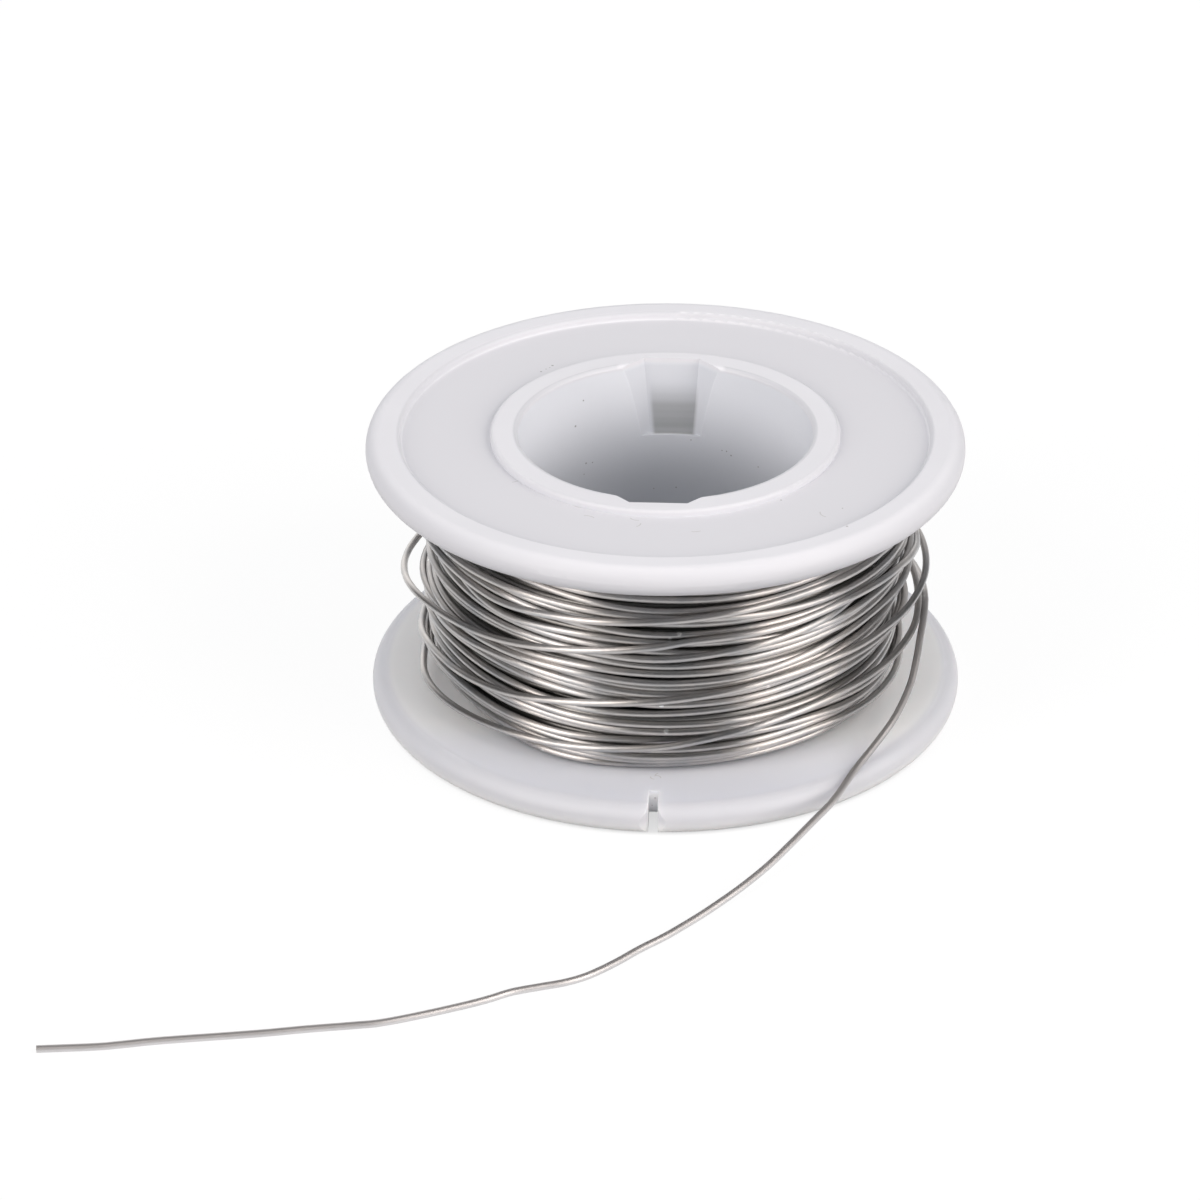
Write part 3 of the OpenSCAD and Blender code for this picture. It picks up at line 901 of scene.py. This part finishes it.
# Painted light in the slit: a lighter tint and a very faint glow
slit = (abs(lower.x) < SLIT_HALF) * (lower.y < SLIT_FOOT) * (1 - lower.z.ramp(*SLIT_TOP))
brush(lower, slit, SLIT_PAINTED_LIGHT)
lower.set(Emission_Color=lower.mix(slit, BLACK, WHITE), Emission_Strength=0.04)
print("brushed:", lower.material.name)

# %% [markdown]
# ## Barrel
#
# The bore is light at its mouth and grows darker inside, because less light gets in and wire lies all round
# its wall: the darkening is painted shade. The keyways' walls get a darker tint too, painted shade. Behind
# each keyway the wall is thinner still, and the turns of wire show through as stripes. See-through plastic
# with wire behind it would need long renders again. Masks in height and radius do the same here, at both
# ends, because the reel has the same keyways above and below.

# %% Bore
BORE_RADIUS = 12.3 * MM
BORE_MOUTH = (0.825, 0.84, 0.885, 1)
# Painted shade: deeper in the bore, and on the keyways' walls
BORE_SHADE_OVER_WIRE = (0.495, 0.51, 0.545, 1)
KEY_MOUTH_SHADE = (0.74, 0.755, 0.80, 1)
# Ranges of height for between(): low, high and soft edge
INSIDE = 0.4 * MM, 24.2 * MM, 0.4 * MM
KEY_INSIDE = 0.5 * MM, 24.1 * MM, 0.5 * MM
DEEP_INSIDE = 7.6 * MM, 17.0 * MM, 9 * MM
KEY_WALL = 12.3 * MM, 12.35 * MM

barrel = plastic("barrel_plastic", False)
x, z, radius = barrel.x, barrel.z, barrel.radius
barrel.tint = clouded_white_with_rim_shade(barrel)
brush(barrel, between(z, *INSIDE), BORE_MOUTH)
# Painted shade on the keyways' walls
brush(barrel, radius.ramp(*KEY_WALL) * between(z, *KEY_INSIDE), KEY_MOUTH_SHADE)
# Painted shade that deepens inside the bore
brush(barrel, between(z, *DEEP_INSIDE), BORE_SHADE_OVER_WIRE)
print("brushed:", barrel.material.name)

# %% Wire behind the keyways
KEY_OVER_WIRE = (0.43, 0.44, 0.455, 1)
KEY_STRIPES = (0.37, 0.38, 0.39, 1)
STRIPES = dict(scale=900.0, detail=1.0)
STRIPE_EDGES = 0.4, 0.6
BEHIND_KEYS = 3.6 * MM, 21.0 * MM, 3.5 * MM
KEY_FLOOR = 12.5 * MM, 12.65 * MM
# Height of the keyway's inner end, half its width there, and how fast that half grows towards the mouth
KEY_END = 17.7 * MM
KEY_END_HALF = 1.6 * MM
KEY_SPREAD = 0.08
KEY_SHIFT = 0.2 * MM
KEY_SIDE = -0.1 * MM, 0.35 * MM

beside = abs(x - KEY_SHIFT) - KEY_END_HALF - (z - KEY_END) * KEY_SPREAD
thin = radius.ramp(*KEY_FLOOR) * (1 - beside.ramp(*KEY_SIDE))
stripes = barrel.noise(barrel.point(0.0, 0.0, z), **STRIPES)
striped = barrel.mix(stripes.ramp(*STRIPE_EDGES), KEY_OVER_WIRE, KEY_STRIPES)
brush(barrel, thin * between(z, *BEHIND_KEYS), striped)
print("wire shows through", 2 * KEY_END_HALF / MM, "mm of the keyway's end")

# %% Rounded edges of the ring
BORE_LIP = 12.3 * MM, 12.7 * MM, 0.2 * MM
PAST_THE_KEYS = 4.3 * MM, 4.8 * MM
OFF_THE_ENDS = 0.3 * MM, 24.3 * MM, 0.4 * MM
RING_FOOT = 14.1 * MM, 14.6 * MM
RING_FOOT_SHARE = 0.7

# Painted shade on the bore's lip and the ring's outer foot, which tones down their highlights
lip = between(radius, *BORE_LIP) * abs(x).ramp(*PAST_THE_KEYS) * (1 - between(z, *OFF_THE_ENDS))
ring_foot = radius.ramp(*RING_FOOT) * RING_FOOT_SHARE
brush(barrel, lip.at_least(ring_foot), PLASTIC_EDGE_SHADE)
print("edges of the ring dulled")

# %% [markdown]
# ## Dust and hairs
#
# White plastic draws dust: dark specks in the bore and on the upper flange, and short bent hairs on the flat
# faces. As objects they would be far thinner than anything else here, and random spots in the material could
# land anywhere. So each speck is one place with a width, and the material darkens whatever is closer to it
# than that. A bent hair is part of a circle: it follows the points at one distance from the middle of its
# bend, but only near the hair's own middle.

# %% Places of the dust
DUST = (0.20, 0.19, 0.18, 1)
HAIR = (0.42, 0.41, 0.38, 1)
BORE_DUST, FLANGE_DUST, SLIT_DUST, HAIR_SHARE = 0.7, 0.6, 0.4, 0.5
RECESS_FACE = 24.0
LOWER_FACE = 2.6
# Azimuth in degrees, height and width in mm, on the wall of the bore
BORE_SPECKS = [
    (-143, 22.1, 0.16), (-139, 19.9, 0.2), (-147, 15.9, 0.14), (-144, 16.0, 0.18), (-143, 15.0, 0.12),
    (178, 12.6, 0.16), (-173, 12.5, 0.12), (157, 16.7, 0.14), (159, 16.7, 0.12), (155, 16.4, 0.16),
    (142, 16.1, 0.14), (172, 17.3, 0.12),
]
# x, y, z and width in mm
FLANGE_SPECKS = [
    (-10.2, 12.6, 24, 0.24), (-10.7, 11.9, 24, 0.14), (-11.1, 11.4, 24, 0.2), (-10.4, 12.2, 24, 0.12),
    (15.3, -16.6, 24.5, 0.3), (9.9, -11.2, 24, 0.16), (14.9, -12.4, 24, 0.14),
]
SLIT_SPECKS = [(0.1, -21.9, 1.9, 0.2), (-0.15, -21.9, 1.2, 0.16)]
# x and y of the hair's middle, then of the middle of its bend, and its length, all in mm
UPPER_HAIRS = [
    (-6.5, -13.1, -6.2, -12.2, 0.9), (-5.5, -14.6, -5.9, -15.5, 1.0), (-2.6, -13.8, -2.0, -13.5, 0.8),
    (-1.9, -15.1, -1.6, -14.5, 0.9), (-1.4, -16.0, -1.9, -15.7, 0.7), (13.2, -13.6, 13.9, -13.2, 1.1),
    (3.2, -16.9, 3.0, -15.9, 0.8), (-11.8, -8.8, -12.3, -8.2, 0.9),
]
LOWER_HAIRS = [
    (-0.3, -19.95, -0.05, -19.75, 0.6), (0.3, -19.55, 0.12, -19.85, 0.8), (0.05, -19.3, 0.3, -19.4, 0.5),
]
print(len(BORE_SPECKS + FLANGE_SPECKS + SLIT_SPECKS), "specks,", len(UPPER_HAIRS + LOWER_HAIRS), "hairs")

# %% Brushing the dust on
# A speck fades between these shares of its width, a hair between these distances and shares of its length
SPECK_EDGE = 0.3, 0.6
HAIR_EDGE = 0.02 * MM, 0.06 * MM
HAIR_END = 0.45, 0.5


def on_bore(side, height, width):
    """A speck's place on the wall of the bore, in mm."""
    angle = math.radians(side)
    return BORE_RADIUS / MM * math.sin(angle), -BORE_RADIUS / MM * math.cos(angle), height, width


def specks(paint, places):
    """1 on small round specks, each given as x, y, z and width in mm."""
    found = 0.0
    for x, y, z, width in places:
        inner, outer = (share * width * MM for share in SPECK_EDGE)
        found = (1 - paint.distance(x, y, z).ramp(inner, outer)).at_least(found)
    return found


def hairs(paint, bends, height):
    """1 on thin bent hairs that lie on a level face."""
    found = 0.0
    for x, y, bend_x, bend_y, length in bends:
        off_line = abs(paint.distance(bend_x, bend_y, height) - math.hypot(x - bend_x, y - bend_y) * MM)
        inner, outer = (share * length * MM for share in HAIR_END)
        near = 1 - paint.distance(x, y, height).ramp(inner, outer)
        found = ((1 - off_line.ramp(*HAIR_EDGE)) * near).at_least(found)
    return found


brush(barrel, specks(barrel, [on_bore(*speck) for speck in BORE_SPECKS]) * BORE_DUST, DUST)
brush(lower, hairs(lower, LOWER_HAIRS, LOWER_FACE) * HAIR_SHARE, HAIR)
brush(lower, specks(lower, SLIT_SPECKS) * SLIT_DUST, DUST)
brush(upper, hairs(upper, UPPER_HAIRS, RECESS_FACE) * HAIR_SHARE, HAIR)
brush(upper, specks(upper, FLANGE_SPECKS) * FLANGE_DUST, DUST)

for name, paint in {"barrel": barrel, "upper_flange": upper, "lower_flange": lower}.items():
    paint.set(Base_Color=paint.tint)
    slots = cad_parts[name].data.materials
    slots.clear()
    slots.append(paint.material)
    print(name, "wears", paint.material.name)

# %% [markdown]
# ## The table
#
# The table is a plain white one. If a lamp made it white, that lamp would wash out the reel, so the table
# shows as white by itself wherever it is seen or mirrored, and only a share of its real shading is mixed in.
# That share keeps the reel's soft shadow, and is larger right under the reel, where it touches the table.

# %% Table
FLOOR_SIZE = 6.0
TABLE_GREY = (0.37, 0.37, 0.37, 1)
TABLE_ROUGHNESS = 0.9
TABLE_SEEN = 1.29
SHADOW_SHARE = 0.3
SHADOW_SHARE_UNDER = 0.5
FOOT_ENDS = 24.0 * MM, 24.8 * MM

corners = [(-1, -1), (1, -1), (1, 1), (-1, 1)]
floor = bpy.data.objects.new("floor", bpy.data.meshes.new("floor"))
floor.data.from_pydata([(x * FLOOR_SIZE, y * FLOOR_SIZE, 0) for x, y in corners], [], [(0, 1, 2, 3)])
bpy.context.scene.collection.objects.link(floor)


def seen_directly(paint):
    """1 where a ray comes from the camera, a mirror-like surface or glass, else 0."""
    path = paint.node("ShaderNodeLightPath").outputs
    rays = [Sum(paint, path[name]) for name in ("Is Camera Ray", "Is Glossy Ray", "Is Transmission Ray")]
    return rays[0].at_least(rays[1]).at_least(rays[2])


table = Paint("pale_table")
table.set(Base_Color=TABLE_GREY, Roughness=TABLE_ROUGHNESS)
x, y, z = table.place()
under_reel = 1 - (x * x + y * y).power(0.5).ramp(*FOOT_ENDS)
shaded = SHADOW_SHARE + under_reel * (SHADOW_SHARE_UNDER - SHADOW_SHARE)
white = table.node("ShaderNodeEmission", None, {"Color": WHITE, "Strength": TABLE_SEEN})
shares = {0: seen_directly(table) * (1 - shaded), 1: table.shader.outputs[0], 2: white.outputs[0]}
surface = table.node("ShaderNodeMixShader", None, shares)
table.tree.links.new(surface.outputs[0], table.tree.nodes["Material Output"].inputs["Surface"])
floor.data.materials.append(table.material)
print(f"table: {2 * FLOOR_SIZE:.0f} m across")

# %% [markdown]
# ## The room
#
# A white room lights the reel softly from all sides. Metal shows what it mirrors, so a room that is white
# everywhere would leave the wire flat and pale. Mirrored rays therefore see dim walls at the sides and in
# front, and a bright wall behind the reel, brighter on the left. The camera sees plain white.

# %% Room
ROOM_LIGHT = 0.48
ROOM_TINT = (0.93, 0.98, 1.04, 1)
BACK_LEFT_SEEN = 1.5
BACK_RIGHT_SEEN = 0.55
SIDE_SEEN = 0.09
FRONT_SEEN = 0.055
BACK_WARMTH, FRONT_WARMTH = 0.02, -0.06
# Where one wall turns into the next, by how far a ray points right or forward, from -1 to 1
LEFT_TO_RIGHT = -0.3, 0.3
BACK_TO_SIDE = -1.0, -0.4
SIDE_TO_FRONT = 0.2, 0.8


class Room(Paint):
    """The world's shader, written like a material."""

    def __init__(self, world):
        self.tree = world.node_tree


def grey(value, warmth=0.0):
    """A grey, a little warmer or cooler."""
    return (value * (1 + warmth), value, value * (1 - warmth), 1)


world = bpy.data.worlds.new("white_room")
bpy.context.scene.world = world
world.use_nodes = True
room = Room(world)
direction = room.node("ShaderNodeTexCoord").outputs["Generated"]
split = room.node("ShaderNodeSeparateXYZ", None, {0: direction})
rightward = Sum(room, split.outputs[0])
forward = Sum(room, split.outputs[1]) * -1
left_wall, right_wall = grey(BACK_LEFT_SEEN, BACK_WARMTH), grey(BACK_RIGHT_SEEN, BACK_WARMTH)
back_wall = room.mix(rightward.ramp(*LEFT_TO_RIGHT), left_wall, right_wall)
walls = room.mix(forward.ramp(*BACK_TO_SIDE), back_wall, grey(SIDE_SEEN))
mirrored = room.mix(forward.ramp(*SIDE_TO_FRONT), walls, grey(FRONT_SEEN, FRONT_WARMTH))
light_path = room.node("ShaderNodeLightPath").outputs
shown = room.mix(light_path["Is Camera Ray"], mirrored, WHITE)
lit = room.node("ShaderNodeBackground", None, {"Color": ROOM_TINT, "Strength": ROOM_LIGHT})
seen = room.node("ShaderNodeBackground", None, {"Color": shown, "Strength": 1.0})
shares = {0: seen_directly(room), 1: lit.outputs[0], 2: seen.outputs[0]}
surface = room.node("ShaderNodeMixShader", None, shares)
room.tree.links.new(surface.outputs[0], room.tree.nodes["World Output"].inputs["Surface"])
print("room lights at", ROOM_LIGHT)

# %% [markdown]
# ## The lamps
#
# Two tall soft boxes, to the left and right of the camera, draw the two bright bands down the wire: each turn
# mirrors a box at the place where it faces halfway between the camera and the box. Their width sets the
# width of the bands, and their height keeps the bands unbroken from turn to turn. Round lamps would give
# dots instead.

# %% Lamps
BOX_DISTANCE = 1.0
BOX_LOW, BOX_HIGH = 0.12, 1.4
LAMP_WARM = (1.0, 0.935, 0.88)
# Name, azimuth in degrees, width in metres, and power in watts
SOFT_BOXES = [("left_soft_box", -48, 0.53, 9.3), ("right_soft_box", 62, 0.84, 12.6)]

for name, side, width, power in SOFT_BOXES:
    light = bpy.data.lights.new(name, "AREA")
    light.shape = "RECTANGLE"
    light.size = width
    light.size_y = BOX_HIGH - BOX_LOW
    light.energy = power
    light.color = LAMP_WARM
    lamp = bpy.data.objects.new(name, light)
    away = Vector((math.sin(math.radians(side)), -math.cos(math.radians(side)), 0))
    lamp.location = away * BOX_DISTANCE + Vector((0, 0, (BOX_LOW + BOX_HIGH) / 2))
    lamp.rotation_mode = "QUATERNION"
    lamp.rotation_quaternion = away.to_track_quat("Z", "Y")
    bpy.context.scene.collection.objects.link(lamp)
    print(f"{name}: {power} W at {side} degrees")

# %% [markdown]
# ## The end

# %% The end
print("the end")
